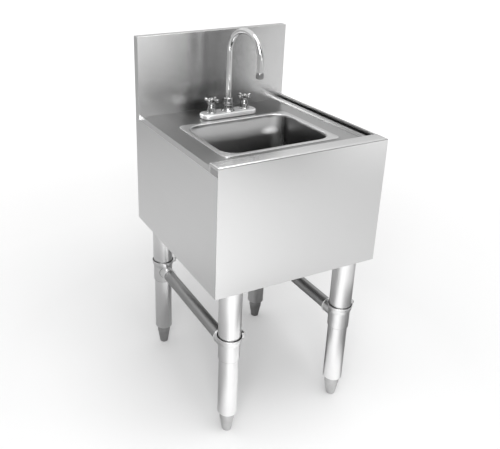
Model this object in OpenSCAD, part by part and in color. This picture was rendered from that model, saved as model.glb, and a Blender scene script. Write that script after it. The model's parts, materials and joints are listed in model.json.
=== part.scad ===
/* [Body] */
// Width of the body, left side to right side
body_w = 457; // [430:1:520]
// Depth of the body, front face to back
body_d = 482; // [440:1:560]
// Height of the front face
body_h = 328; // [300:1:360]
// Height of the front rim above the floor
work_h = 762; // [740:1:820]
// Thickness of the body's sheet
sheet_t = 1.5; // [1.2:0.1:2]
// Outer radius of the bends in the body's sheet
bend_r = 5; // [3.5:0.5:7]
// Depth of the raised rim along the front
rim_d = 42; // [36:1:50]
// Height of the front rim above the deck
rim_rise = 15; // [13:1:18]
// Width of the turned-in edge along the bottom of each panel
hem_w = 14; // [10:1:20]

/* [Deck] */
// Width and height of the slope along the left edge of the deck
bevel = 8; // [7:0.5:10]
// Width of the lip along the right edge
lip_w = 4.5; // [4:0.5:7]
// Height of that lip above the deck
lip_rise = 13; // [8:0.5:15]
// Width of the drip channel beside the lip
channel_w = 8; // [6:0.5:14]
// Depth of the drip channel below the deck
channel_depth = 4; // [3:0.5:5]
// Width of the flat ledge beside the channel
ledge_w = 10; // [8:1:18]
// Height of the ledge above the deck
ledge_rise = 4.5; // [2.5:0.5:6]
// Width of the slope up to the ledge
ledge_slope_w = 4; // [3:0.5:16]

/* [Backsplash] */
// Height of the backsplash above the deck
splash_h = 217; // [180:1:260]
// Thickness of the backsplash
splash_t = 25; // [20:1:32]
// Height of the flange along the back of the backsplash's top
splash_flange_h = 12; // [8:1:20]

/* [Bowl] */
// Width of the bowl's opening
bowl_w = 298; // [270:1:310]
// Distance between the raised rim and the bowl's flange
bowl_front_gap = 41; // [25:1:60]
// Distance between the bowl's flange and the faucet's base
bowl_rear_gap = 11; // [4:1:30]
// Depth of the bowl below its flange
bowl_depth = 205; // [160:1:230]
// Radius of the bowl's upright corners
bowl_corner_r = 42; // [34:1:55]
// Radius between the bowl's walls and floor
bowl_floor_r = 26; // [15:1:30]
// Width of the flat flange round the bowl
flange_w = 14; // [11:1:18]
// Radius of the flange's corners
flange_corner_r = 16; // [8:1:30]
// Distance of the bowl's middle from the middle of the body, to the left
bowl_left = 5; // [0:1:15]

/* [Drain] */
// Diameter of the drain's body below the bowl
drain_d = 48; // [44:1:54]
// Diameter of the drain's flange
drain_flange_d = 76; // [70:1:86]
// Length of the drain's body below the bowl
drain_l = 44; // [36:1:56]
// Diameter of the tailpiece
tail_d = 38.1; // [31.8:0.1:38.1]
// Length of the tailpiece below the drain's body
tail_l = 52; // [30:1:70]
// Height of the nut that clamps the drain under the bowl
lock_nut_h = 12; // [8:1:16]
// Width of that nut beyond the drain's body
lock_nut_w = 8; // [6:1:12]
// Thickness of the gasket between the nut and the bowl
drain_gasket_t = 3; // [2:0.5:5]
// Height of the slip nut at the tailpiece's upper end
slip_nut_h = 22; // [20:1:28]
// Width of the slip nut beyond the drain's body
slip_nut_w = 5; // [4:0.5:8]
// Thickness of the strainer
strainer_t = 2; // [1.5:0.5:3]
// Diameter of the strainer's holes
strainer_hole_d = 5; // [4:0.5:6]

/* [Legs] */
// Distance of each leg's axis from the side of the body
leg_in_x = 61; // [50:1:80]
// Distance of each leg's axis from the front face or the back
leg_in_y = 34; // [32:1:60]
// Diameter of the upper leg tube
upper_d = 57; // [54:0.5:60]
// Diameter of the lower leg tube
lower_d = 50; // [46:0.5:51]
// Wall of the leg tubes
tube_t = 1.6; // [1.2:0.1:2.5]
// Height of the collar's lower edge above the floor
collar_z = 229; // [180:1:260]
// Height of the collar
collar_h = 67; // [60:1:80]
// Wall of the collar round the lower tube
collar_t = 2.5; // [2:0.1:4]
// Depth of the cup that holds the upper tube
cup_depth = 11; // [8:1:16]
// Length of the lower tube inside the upper tube
overlap = 34; // [20:1:60]
// Diameter of the side rails
rail_d = 33; // [28:0.5:36]
// Distance that each collar's socket reaches from the leg's axis
socket_l = 50; // [42:1:60]
// Height of the channels that hold the legs
mount_h = 26; // [20:1:34]
// Width of the channels that hold the legs
mount_w = 76; // [66:1:90]

/* [Feet] */
// Height of the foot below the lower tube
foot_h = 60; // [50:1:70]
// Diameter of the foot
foot_d = 38; // [34:1:42]
// Diameter of the foot's flat end
foot_tip_d = 24; // [20:1:30]
// Diameter of the foot's stem
stem_d = 16; // [12:0.5:20]
// Length of the stem inside the lower tube
stem_l = 46; // [40:1:60]
// Height of the threaded plug in the lower tube
plug_h = 20; // [14:1:24]

/* [Faucet] */
// Distance between the two handles
centres = 101.6; // [96:0.1:110]
// Length of the faucet's base
base_l = 164; // [154:1:180]
// Width of the faucet's base
base_w = 50; // [46:1:56]
// Radius of the base's corners
base_corner_r = 20; // [10:1:22]
// Height of the faucet's base
base_h = 12; // [10:1:16]
// Distance of the faucet's axis from the backsplash
faucet_back = 84; // [70:1:90]
// Diameter of the spout tube
spout_d = 15.9; // [13:0.1:19]
// Wall of the spout tube
spout_t = 1.3; // [1:0.1:2]
// Radius of the spout's bend
spout_r = 63.5; // [48:0.5:76]
// Height of the bend's start above the deck
spout_h = 173; // [150:1:200]
// Length of the straight end below the bend
spout_drop = 40; // [30:1:60]
// Turn of the spout from straight forward, to the right
spout_turn = 8; // [-40:1:40]
// Height of the post that carries the spout, above the base
post_h = 22; // [16:1:30]
// Length of a handle's arm from the handle's axis
arm_l = 21; // [18:0.5:26]
// Diameter of a handle's arm
arm_d = 8; // [6:0.5:10]
// Rise of a handle's arms towards their ends
arm_rise = 10; // [0:1:20]
// Diameter of a valve's bonnet
bonnet_d = 27; // [24:0.5:32]
// Height of a valve's bonnet
bonnet_h = 18; // [12:1:24]
// Height of a handle's hub
hub_h = 23; // [20:1:28]
// Diameter of the threaded shanks
shank_d = 20.9; // [18:0.1:22]
// Length of the shanks below the deck's top
shank_l = 58; // [46:1:70]

/* [Hidden] */
$fn = 64;

steel = [0.74, 0.74, 0.75];
chrome = [0.88, 0.89, 0.91];
grey = [0.55, 0.56, 0.57];
black = [0.12, 0.12, 0.13];

// Running clearance between tubes, screws and what they turn or slide in
fit = 0.05;
// Clearance round tubes that only pass through a cup or a hole
loose = 0.3;

left_x = -body_w / 2;
right_x = body_w / 2;
front_y = -body_d / 2;
back_y = body_d / 2;
body_z = work_h - body_h;
deck_z = work_h - rim_rise;
side_top_z = deck_z - bevel;
lip_x = right_x - lip_w;
channel_x = lip_x - channel_w;
ledge_x = channel_x - ledge_w;
slope_foot_x = ledge_x - ledge_slope_w;
slope_angle = atan(ledge_rise / ledge_slope_w);
// The deck's sheet ends just before the slope
slope_x = slope_foot_x - sheet_t;
rim_corner_r = 4;
rim_back_y = front_y + rim_d;
splash_y = back_y - splash_t;
splash_top_z = deck_z + splash_h;

// The bowl takes the depth that the rim and the faucet's base leave it
faucet_x = 0;
faucet_y = splash_y - faucet_back;
bowl_front_y = rim_back_y + bowl_front_gap + flange_w;
bowl_back_y = faucet_y - base_w / 2 - bowl_rear_gap - flange_w;
bowl_l = bowl_back_y - bowl_front_y;
bowl_x = -bowl_left;
bowl_y = (bowl_front_y + bowl_back_y) / 2;
flange_z = deck_z + sheet_t;
bowl_floor_z = flange_z - bowl_depth;
drain_bottom_z = bowl_floor_z - drain_l;
lock_nut_z = bowl_floor_z - sheet_t - drain_gasket_t - lock_nut_h;
// Part of the slip nut below the drain's body, and the flange that it holds
slip_nut_drop = 16;
tail_flange_w = 3;
tail_flange_h = 3;
tail_groove_h = 2;
nut_lug_out = 3;
lock_lug_w = 6;
slip_lug_w = 8;

leg_x = body_w / 2 - leg_in_x;
leg_y = body_d / 2 - leg_in_y;
cup_z = collar_z + collar_h - cup_depth;
lower_id = lower_d - 2 * tube_t;
mount_z = body_z + sheet_t;
upper_top_z = mount_z + mount_h - 2 * sheet_t;
socket_z = collar_z + collar_h * 0.5;
lug_l = 12;
lug_h = 16;
collar_screw_d = 6;

base_top_z = deck_z + 1 + base_h;
bonnet_z = base_top_z;
stem_z = bonnet_z + bonnet_h;
hub_z = stem_z + 0.3;
valve_stem_d = 9;
stem_top_z = hub_z + hub_h - 5;
button_d = 9;
button_h = 2.5;
spout_seat_z = base_top_z + post_h;
spout_collar_h = 15;
spout_end_z = deck_z + spout_h - spout_drop;
aerator_h = 14;

// Points along a quarter bend, from angle a to angle b about the centre c
function bend(c, r, a, b, n = 5) =
  [for (i = [0 : n]) [c[0] + r * cos(a + (b - a) * i / n), c[1] + r * sin(a + (b - a) * i / n)]];

// A rounded rectangle of size w by l about the origin
module rounded_rect(w, l, r) {
  square([w - 2 * r, l], center = true);
  square([w, l - 2 * r], center = true);
  for (x = [-1, 1], y = [-1, 1]) {
    translate([x * (w / 2 - r), y * (l / 2 - r)]) circle(r = r);
  }
}

module tube(d, t, h) {
  difference() {
    cylinder(d = d, h = h);
    translate([0, 0, -1]) cylinder(d = d - 2 * t, h = h + 2);
  }
}

// Points of a folded sheet, from its outer and its inner line
function folded(outer, inner) = concat(outer, [for (i = [len(inner) - 1 : -1 : 0]) inner[i]]);

// The front panel and rim seen from the left: y runs back from the front face, z up from its lower edge
function rim_line(inset, low_front, low_back) = concat(
  [[inset, low_front]],
  bend([bend_r, body_h - bend_r], bend_r - inset, 180, 90),
  bend([rim_d - bend_r, body_h - bend_r], bend_r - inset, 90, 0),
  [[rim_d - inset, low_back]]
);

// Places an outline drawn as (y, z) across the body, from x0 to x1
module across(x0, x1) {
  translate([x0, front_y, body_z]) rotate([90, 0, 90]) linear_extrude(x1 - x0) children();
}

// Round openings in a turned-in edge, which the legs pass through
module leg_holes() {
  for (x = [-leg_x, leg_x], y = [-leg_y, leg_y]) {
    translate([x, y, body_z - 5]) cylinder(d = upper_d + 2 * loose, h = 12);
  }
}

module front_apron() color(steel) {
  low = body_h - rim_rise - channel_depth - sheet_t;
  side_low = body_h - rim_rise - bevel;
  intersection() {
    union() {
      across(left_x, right_x) polygon(folded(rim_line(0, 0, low), rim_line(sheet_t, 0, low)));
      // Closed ends of the rim, above the side panels
      for (x = [left_x, right_x - sheet_t]) {
        across(x, x + sheet_t) polygon(rim_line(0, side_low, side_low));
      }
    }
    // The rim's upper corners are rounded
    translate([0, rim_back_y + 1, 0]) rotate([90, 0, 0]) linear_extrude(rim_d + 2) {
      translate([left_x, body_z]) square([body_w, body_h - rim_corner_r]);
      translate([left_x + rim_corner_r, body_z]) square([body_w - 2 * rim_corner_r, body_h]);
      for (x = [-1, 1]) {
        translate([x * (body_w / 2 - rim_corner_r), work_h - rim_corner_r]) circle(r = rim_corner_r);
      }
    }
  }
  // Turned-in edge along the bottom
  difference() {
    translate([left_x + sheet_t, front_y + sheet_t, body_z]) {
      cube([body_w - 2 * sheet_t, hem_w - sheet_t, sheet_t]);
    }
    leg_holes();
  }
}

module side_panel() color(steel) {
  // The panel's outer face is at x = 0 and its inside is towards +x
  translate([0, front_y + sheet_t, body_z]) cube([sheet_t, body_d - sheet_t, side_top_z - body_z]);
  translate([0, front_y + hem_w + sheet_t, body_z]) {
    cube([hem_w, body_d - 2 * hem_w - 2 * sheet_t, sheet_t]);
  }
}

module left_side_panel() translate([left_x, 0, 0]) side_panel();

module right_side_panel() translate([right_x, 0, 0]) mirror([1, 0, 0]) side_panel();

module rear_panel() color(steel) {
  translate([left_x + sheet_t, back_y - sheet_t, body_z]) {
    cube([body_w - 2 * sheet_t, sheet_t, side_top_z - body_z]);
  }
  difference() {
    translate([left_x + sheet_t, back_y - hem_w, body_z]) {
      cube([body_w - 2 * sheet_t, hem_w - sheet_t, sheet_t]);
    }
    leg_holes();
  }
}

// Places an outline drawn as (x, z) along the deck, from the rim to the backsplash
module along_deck() {
  translate([0, splash_y, 0]) rotate([90, 0, 0]) linear_extrude(splash_y - rim_back_y) children();
}

// The deck from left to right, as (x, z)
function deck_line(drop) = [
  [left_x + drop, side_top_z],
  [left_x + bevel + drop * 0.414, deck_z - drop],
  [slope_x, deck_z - drop]
];

// The right edge from left to right, as (x, z), with the sheet's full thickness on its slope
function edge_line(drop) = [
  [slope_x, deck_z - drop],
  [slope_foot_x + drop * tan(slope_angle / 2), deck_z - drop],
  [ledge_x + drop * tan(slope_angle / 2), deck_z + ledge_rise - drop],
  [channel_x - drop, deck_z + ledge_rise - drop],
  [channel_x - drop, deck_z - channel_depth - drop],
  [lip_x + drop, deck_z - channel_depth - drop],
  [lip_x + drop, deck_z + lip_rise - drop],
  [right_x - drop, deck_z + lip_rise - drop],
  [right_x - drop, side_top_z]
];

module deck_top() color(steel) difference() {
  along_deck() polygon(folded(deck_line(0), deck_line(sheet_t)));
  translate([bowl_x, bowl_y, deck_z - 20]) linear_extrude(40) {
    rounded_rect(bowl_w + 2 * sheet_t + 2 * loose, bowl_l + 2 * sheet_t + 2 * loose,
      bowl_corner_r + sheet_t + loose);
  }
  for (side = [-1, 1]) {
    translate([faucet_x + side * centres / 2, faucet_y, deck_z - 20]) {
      cylinder(d = shank_d + 2 * loose, h = 40);
    }
  }
}

module right_edge_channel() color(steel) {
  along_deck() polygon(folded(edge_line(0), edge_line(sheet_t)));
}

module backsplash() color(steel) {
  z0 = side_top_z;
  // Front sheet, which meets the deck's back edge
  translate([left_x, splash_y, z0]) cube([body_w, sheet_t, splash_top_z - z0]);
  // Top, ends and the flange down the back
  translate([left_x, splash_y, splash_top_z - sheet_t]) cube([body_w, splash_t, sheet_t]);
  translate([left_x, back_y - sheet_t, splash_top_z - splash_flange_h]) {
    cube([body_w, sheet_t, splash_flange_h]);
  }
  for (x = [left_x, right_x - sheet_t]) {
    translate([x, splash_y, z0]) cube([sheet_t, splash_t, splash_top_z - z0]);
  }
  // Sheet that closes the step between the backsplash and the rear panel
  translate([left_x + sheet_t, splash_y + sheet_t, z0]) {
    cube([body_w - 2 * sheet_t, splash_t - sheet_t, sheet_t]);
  }
}

// The bowl's wall in section: r is the distance from the corner's axis
function bowl_wall(r, floor_r, z0, t) = concat(
  [[r + t, bowl_depth], [r, bowl_depth]],
  bend([r - floor_r, z0 + floor_r], floor_r, 0, -90, 8),
  bend([r - floor_r, z0 + floor_r], floor_r + t, -90, 0, 8)
);

module bowl_side(length) {
  rotate([90, 0, 0]) translate([0, 0, -length / 2]) linear_extrude(length) {
    polygon(bowl_wall(0, bowl_floor_r, 0, sheet_t));
  }
}

module basin_bowl() color(steel) {
  w = bowl_w;
  l = bowl_l;
  r = bowl_corner_r;
  f = bowl_floor_r;
  difference() {
    translate([bowl_x, bowl_y, bowl_floor_z]) {
      for (side = [0, 1]) rotate(side * 180) {
        translate([w / 2, 0, 0]) bowl_side(l - 2 * r);
        rotate(90) translate([l / 2, 0, 0]) bowl_side(w - 2 * r);
      }
      for (x = [-1, 1], y = [-1, 1]) {
        translate([x * (w / 2 - r), y * (l / 2 - r), 0]) {
          rotate(x > 0 ? (y > 0 ? 0 : 270) : (y > 0 ? 90 : 180)) rotate_extrude(angle = 90) {
            polygon(bowl_wall(r, f, 0, sheet_t));
          }
        }
      }
      translate([0, 0, -sheet_t]) linear_extrude(sheet_t) rounded_rect(w - 2 * f, l - 2 * f, r - f);
    }
    translate([bowl_x, bowl_y, bowl_floor_z - 10]) cylinder(d = drain_d + 2 * loose, h = 20);
  }
}

// The flat flange that lies on the deck and turns down into the bowl's wall
module bowl_flange() color(steel) {
  translate([bowl_x, bowl_y, deck_z]) linear_extrude(sheet_t) difference() {
    rounded_rect(bowl_w + 2 * flange_w, bowl_l + 2 * flange_w, flange_corner_r);
    rounded_rect(bowl_w + 2 * sheet_t, bowl_l + 2 * sheet_t, bowl_corner_r + sheet_t);
  }
}

module drain_body() color(chrome) translate([bowl_x, bowl_y, drain_bottom_z]) {
  wall_r = drain_d / 2 - 2.4;
  out_r = tail_d / 2 - 3;
  seat = drain_l - 4;
  rotate_extrude() polygon([
    [out_r, 0], [drain_d / 2 - 2, 0], [drain_d / 2, 2], [drain_d / 2, drain_l],
    [drain_flange_d / 2, drain_l], [drain_flange_d / 2, drain_l + 0.8],
    [drain_flange_d / 2 - 2, drain_l + 1.8], [wall_r + 1, drain_l + 1.8], [wall_r, drain_l + 0.8],
    [wall_r, seat], [wall_r - 2.5, seat], [wall_r - 2.5, seat - 3], [wall_r, seat - 5.5],
    [wall_r, 6], [out_r, 4]
  ]);
}

module drain_gasket() color(black) translate([bowl_x, bowl_y, lock_nut_z + lock_nut_h]) {
  tube(drain_d + 2 * (lock_nut_w + 2), lock_nut_w + 2 - loose, drain_gasket_t);
}

module drain_lock_nut() color(chrome) translate([bowl_x, bowl_y, lock_nut_z]) difference() {
  rim_r = drain_d / 2 + lock_nut_w;
  union() {
    cylinder(r = rim_r, h = lock_nut_h);
    for (a = [0 : 45 : 315]) rotate(a) translate([rim_r - nut_lug_out, -lock_lug_w / 2, 0]) {
      cube([2 * nut_lug_out, lock_lug_w, lock_nut_h]);
    }
  }
  translate([0, 0, -1]) cylinder(d = drain_d + 2 * fit, h = lock_nut_h + 2);
}

module drain_tailpiece() color(chrome) translate([bowl_x, bowl_y, drain_bottom_z - tail_l]) {
  wall = 1.2;
  // A shallow groove parts the free end from the end that the slip nut holds
  groove_top = tail_l - slip_nut_drop - 0.5;
  tube(tail_d, wall, groove_top - tail_groove_h);
  tube(tail_d - wall, wall / 2, groove_top);
  translate([0, 0, groove_top]) tube(tail_d, wall, tail_l - groove_top);
  translate([0, 0, tail_l - tail_flange_h]) {
    tube(tail_d + 2 * tail_flange_w, tail_flange_w + wall, tail_flange_h);
  }
}

module drain_slip_nut() color(chrome) translate([bowl_x, bowl_y, drain_bottom_z - slip_nut_drop]) {
  rim_r = drain_d / 2 + slip_nut_w;
  lip_z = slip_nut_drop - tail_flange_h - 1;
  difference() {
    union() {
      cylinder(r = rim_r, h = slip_nut_h);
      for (a = [0 : 60 : 300]) rotate(a) translate([rim_r - nut_lug_out, -slip_lug_w / 2, 3]) {
        cube([2 * nut_lug_out, slip_lug_w, slip_nut_h - 8]);
      }
    }
    translate([0, 0, -1]) cylinder(d = tail_d + 2 * fit, h = slip_nut_h + 2);
    translate([0, 0, lip_z]) {
      cylinder(d = tail_d + 2 * (tail_flange_w + loose), h = slip_nut_drop - lip_z + 0.01);
    }
    translate([0, 0, slip_nut_drop]) cylinder(d = drain_d + 2 * fit, h = slip_nut_h);
  }
}

module drain_strainer() color(chrome) translate([bowl_x, bowl_y, bowl_floor_z - 4]) {
  seat_d = drain_d - 4.8;
  difference() {
    union() {
      cylinder(d = seat_d - 2 * fit, h = strainer_t);
      cylinder(d = 8, h = strainer_t + 1.5);
    }
    for (ring = [1, 2]) {
      for (i = [0 : ring * 6 - 1]) {
        rotate(i * 60 / ring) translate([ring * drain_d * 0.17, 0, -1]) {
          cylinder(d = strainer_hole_d, h = 6, $fn = 24);
        }
      }
    }
  }
}

// A channel that is open below and holds the upper ends of two legs
module leg_channel() color(steel) {
  run = body_d - 2 * sheet_t;
  translate([-mount_w / 2, -run / 2, mount_z]) difference() {
    cube([mount_w, run, mount_h]);
    translate([2 * sheet_t, -1, -1]) cube([mount_w - 4 * sheet_t, run + 2, mount_h - 2 * sheet_t + 1]);
  }
}

module left_leg_channel() translate([-leg_x, 0, 0]) leg_channel();

module right_leg_channel() translate([leg_x, 0, 0]) leg_channel();

module upper_leg() color(steel) translate([0, 0, cup_z]) tube(upper_d, tube_t, upper_top_z - cup_z);

module front_left_upper_leg() translate([-leg_x, -leg_y, 0]) upper_leg();

module front_right_upper_leg() translate([leg_x, -leg_y, 0]) upper_leg();

module rear_left_upper_leg() translate([-leg_x, leg_y, 0]) upper_leg();

module rear_right_upper_leg() translate([leg_x, leg_y, 0]) upper_leg();

// A collar whose rail socket points along +y
module collar() color(steel) translate([0, 0, collar_z]) {
  sleeve_r = lower_d / 2 + fit + collar_t;
  cup_r = upper_d / 2 + fit;
  rim_r = cup_r + collar_t;
  seat = collar_h - cup_depth;
  difference() {
    union() {
      rotate_extrude() polygon([
        [0, 0], [sleeve_r - 1, 0], [sleeve_r, 1.5], [sleeve_r, seat - 8], [rim_r - 1, seat],
        [rim_r - 1, collar_h - 4], [rim_r + 1, collar_h - 1], [rim_r + 1, collar_h], [0, collar_h]
      ]);
      translate([0, 0, socket_z - collar_z]) rotate([-90, 0, 0]) {
        cylinder(d = rail_d + 2 * collar_t, h = socket_l);
      }
      translate([cup_r, -lug_l / 2, collar_h - lug_h]) cube([lug_l - 1, lug_l, lug_h]);
    }
    translate([0, 0, -1]) cylinder(r = lower_d / 2 + fit, h = collar_h);
    translate([0, 0, seat]) cylinder(r = cup_r, h = cup_depth + 1);
    translate([0, lower_d / 2 + collar_t, socket_z - collar_z]) rotate([-90, 0, 0]) {
      cylinder(d = rail_d + 2 * fit, h = socket_l);
    }
    translate([cup_r - 2, 0, collar_h - cup_depth / 2]) rotate([0, 90, 0]) {
      cylinder(d = collar_screw_d + 2 * fit, h = lug_l + 4, $fn = 32);
    }
  }
}

module front_left_collar() translate([-leg_x, -leg_y, 0]) collar();

module front_right_collar() translate([leg_x, -leg_y, 0]) collar();

module rear_left_collar() translate([-leg_x, leg_y, 0]) mirror([0, 1, 0]) collar();

module rear_right_collar() translate([leg_x, leg_y, 0]) mirror([0, 1, 0]) collar();

module collar_screws() color(grey) {
  for (x = [-1, 1], y = [-1, 1]) {
    translate([x * leg_x + upper_d / 2 + 0.02, y * leg_y, collar_z + collar_h - cup_depth / 2]) {
      rotate([0, 90, 0]) {
        cylinder(d = collar_screw_d, h = lug_l - 1, $fn = 32);
        translate([0, 0, lug_l - 1 + fit]) cylinder(d = 10, h = 4, $fn = 6);
        cylinder(d = collar_screw_d - 1, h = lug_l + 1, $fn = 32);
      }
    }
  }
}

module side_rail() color(steel) {
  reach = leg_y - lower_d / 2 - collar_t - fit;
  translate([0, -reach, socket_z]) rotate([-90, 0, 0]) tube(rail_d, tube_t, 2 * reach);
}

module left_side_rail() translate([-leg_x, 0, 0]) side_rail();

module right_side_rail() translate([leg_x, 0, 0]) side_rail();

module lower_leg() color(steel) translate([0, 0, foot_h]) {
  tube(lower_d, tube_t, cup_z + overlap - foot_h);
}

module front_left_lower_leg() translate([-leg_x, -leg_y, 0]) lower_leg();

module front_right_lower_leg() translate([leg_x, -leg_y, 0]) lower_leg();

module rear_left_lower_leg() translate([-leg_x, leg_y, 0]) lower_leg();

module rear_right_lower_leg() translate([leg_x, leg_y, 0]) lower_leg();

module foot_plugs() color(grey) {
  for (x = [-1, 1], y = [-1, 1]) {
    translate([x * leg_x, y * leg_y, foot_h]) difference() {
      cylinder(d = lower_id - 2 * fit, h = plug_h);
      translate([0, 0, -1]) cylinder(d = stem_d + 2 * fit, h = plug_h + 2);
    }
  }
}

module foot() color(grey) {
  rotate_extrude() polygon([
    [0, 0], [foot_tip_d / 2 - 2, 0], [foot_tip_d / 2, 2], [foot_d / 2 - 1, foot_h - 24],
    [foot_d / 2, foot_h - 20], [foot_d / 2, foot_h - 1], [foot_d / 2 - 1, foot_h],
    [stem_d / 2, foot_h], [stem_d / 2, foot_h + stem_l - 1], [stem_d / 2 - 1, foot_h + stem_l],
    [0, foot_h + stem_l]
  ]);
}

module front_left_foot() translate([-leg_x, -leg_y, 0]) foot();

module front_right_foot() translate([leg_x, -leg_y, 0]) foot();

module rear_left_foot() translate([-leg_x, leg_y, 0]) foot();

module rear_right_foot() translate([leg_x, leg_y, 0]) foot();

module faucet_gasket() color(black) translate([faucet_x, faucet_y, deck_z]) difference() {
  linear_extrude(1) rounded_rect(base_l - 4, base_w - 4, base_corner_r - 2);
  for (side = [-1, 1]) {
    translate([side * centres / 2, 0, -1]) cylinder(d = shank_d + 2 * loose, h = 3);
  }
}

// One layer of the faucet's base, inset from its outline
module base_layer(inset, z0, z1) {
  translate([0, 0, z0]) linear_extrude(z1 - z0) {
    rounded_rect(base_l - 2 * inset, base_w - 2 * inset, base_corner_r - inset);
  }
}

module faucet_base() color(chrome) translate([faucet_x, faucet_y, deck_z + 1]) {
  difference() {
    union() {
      base_layer(0, 0, base_h - 4.5);
      base_layer(0.8, base_h - 4.5, base_h - 2.5);
      base_layer(2.2, base_h - 2.5, base_h - 1);
      base_layer(4.5, base_h - 1, base_h);
    }
    for (side = [-1, 1]) {
      translate([side * centres / 2, 0, -1]) cylinder(d = shank_d + 2 * fit, h = base_h - 2);
      translate([side * centres / 2, 0, base_h - 4]) cylinder(d = valve_stem_d + 2 * fit, h = 10);
    }
    translate([0, 0, 4]) cylinder(d = spout_d + 2 * fit, h = base_h);
  }
}

module spout_post() color(chrome) translate([faucet_x, faucet_y, base_top_z]) difference() {
  rotate_extrude() polygon([
    [0, 0], [19, 0], [16, 2], [14, 6], [13, post_h - 4], [14, post_h - 2], [14, post_h], [0, post_h]
  ]);
  translate([0, 0, -1]) cylinder(d = spout_d + 2 * fit, h = post_h + 2);
}

module faucet_shanks() color(grey) {
  // A relief groove parts the clamping thread from the supply thread
  groove = shank_l - 15;
  top = shank_l + 1 + base_h - 5;
  for (side = [-1, 1]) {
    translate([faucet_x + side * centres / 2, faucet_y, deck_z - shank_l]) difference() {
      union() {
        cylinder(d = shank_d, h = groove);
        cylinder(d = shank_d - 2, h = groove + 2);
        translate([0, 0, groove + 2]) cylinder(d = shank_d, h = top - groove - 2);
      }
      translate([0, 0, -1]) cylinder(d = shank_d - 7, h = top - 4);
    }
  }
}

module shank_lock_nuts() color(grey) {
  nut_h = 8;
  for (side = [-1, 1]) {
    translate([faucet_x + side * centres / 2, faucet_y, deck_z - sheet_t - nut_h]) difference() {
      union() {
        translate([0, 0, nut_h - 2]) cylinder(d = shank_d + 16, h = 2);
        cylinder(d = shank_d + 12, h = nut_h - 2, $fn = 6);
      }
      translate([0, 0, -1]) cylinder(d = shank_d + 2 * fit, h = nut_h + 2);
    }
  }
}

module spout_collar() color(chrome) translate([faucet_x, faucet_y, spout_seat_z]) difference() {
  union() {
    cylinder(d = 27, h = 2.5);
    cylinder(d = 24, h = spout_collar_h - 2);
    translate([0, 0, spout_collar_h - 2]) cylinder(d1 = 24, d2 = 20, h = 2);
  }
  translate([0, 0, -1]) cylinder(d = spout_d + 2 * fit, h = spout_collar_h + 2);
}

// The spout's tube, with radius r all along
module spout_path(r, below, above) {
  turn_z = deck_z + spout_h;
  translate([0, 0, below]) cylinder(r = r, h = turn_z - below);
  translate([0, 0, turn_z]) rotate([90, 0, 90]) translate([-spout_r, 0, 0]) {
    rotate_extrude(angle = 180) translate([spout_r, 0]) circle(r = r);
  }
  translate([0, -2 * spout_r, above]) cylinder(r = r, h = turn_z - above);
}

module gooseneck_spout() color(chrome) translate([faucet_x, faucet_y, 0]) rotate(spout_turn) {
  start_z = deck_z + 1 + 4 + loose;
  difference() {
    spout_path(spout_d / 2, start_z, spout_end_z);
    spout_path(spout_d / 2 - spout_t, start_z - 1, spout_end_z - 1);
  }
}

module spout_aerator() color(chrome) translate([faucet_x, faucet_y, 0]) rotate(spout_turn) {
  translate([0, -2 * spout_r, spout_end_z - 5]) difference() {
    union() {
      cylinder(d = spout_d + 4, h = aerator_h);
      translate([0, 0, -1]) cylinder(d = spout_d + 2, h = 1);
    }
    translate([0, 0, 5]) cylinder(d = spout_d + 2 * fit, h = aerator_h);
    translate([0, 0, -2]) cylinder(d = spout_d - 3, h = aerator_h);
  }
}

module bonnet() color(chrome) translate([0, 0, bonnet_z]) difference() {
  rotate_extrude() polygon([
    [0, 0], [bonnet_d / 2, 0], [bonnet_d / 2, 2], [bonnet_d / 2 - 1.5, 3.5],
    [bonnet_d / 2 - 3, bonnet_h - 2], [bonnet_d / 2 - 4, bonnet_h], [0, bonnet_h]
  ]);
  translate([0, 0, -1]) cylinder(d = valve_stem_d + 2 * fit, h = bonnet_h + 2);
}

module left_bonnet() translate([faucet_x - centres / 2, faucet_y, 0]) bonnet();

module right_bonnet() translate([faucet_x + centres / 2, faucet_y, 0]) bonnet();

module valve_stem() color(grey) translate([0, 0, deck_z + base_h - 3.5]) {
  cylinder(d = valve_stem_d, h = stem_top_z - deck_z - base_h + 3.5);
}

module left_valve_stem() translate([faucet_x - centres / 2, faucet_y, 0]) valve_stem();

module right_valve_stem() translate([faucet_x + centres / 2, faucet_y, 0]) valve_stem();

// A cross handle with four arms
module handle() color(chrome) translate([0, 0, hub_z]) difference() {
  union() {
    rotate_extrude() polygon([
      [0, 0], [9.5, 0], [10.5, 1.5], [9, 6], [8.5, 9], [9.5, 12], [9.5, hub_h - 3],
      [7.5, hub_h], [0, hub_h]
    ]);
    for (a = [0 : 90 : 270]) {
      rotate(a) translate([0, 0, hub_h - 9]) rotate([0, 90 - arm_rise, 0]) {
        cylinder(d = arm_d, h = arm_l - arm_d / 2);
        translate([0, 0, arm_l - arm_d / 2 - 1]) sphere(d = arm_d + 2);
      }
    }
  }
  translate([0, 0, -1]) cylinder(d = valve_stem_d + 2 * fit, h = hub_h - 3.9);
  translate([0, 0, hub_h - button_h]) cylinder(d = button_d + 2 * fit, h = 5);
}

module left_handle() translate([faucet_x - centres / 2, faucet_y, 0]) rotate(35) handle();

module right_handle() translate([faucet_x + centres / 2, faucet_y, 0]) rotate(12) handle();

module handle_button() color(grey) translate([0, 0, hub_z + hub_h - button_h]) {
  cylinder(d = button_d, h = button_h + 0.6);
}

module left_handle_button() translate([faucet_x - centres / 2, faucet_y, 0]) handle_button();

module right_handle_button() translate([faucet_x + centres / 2, faucet_y, 0]) handle_button();

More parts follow.
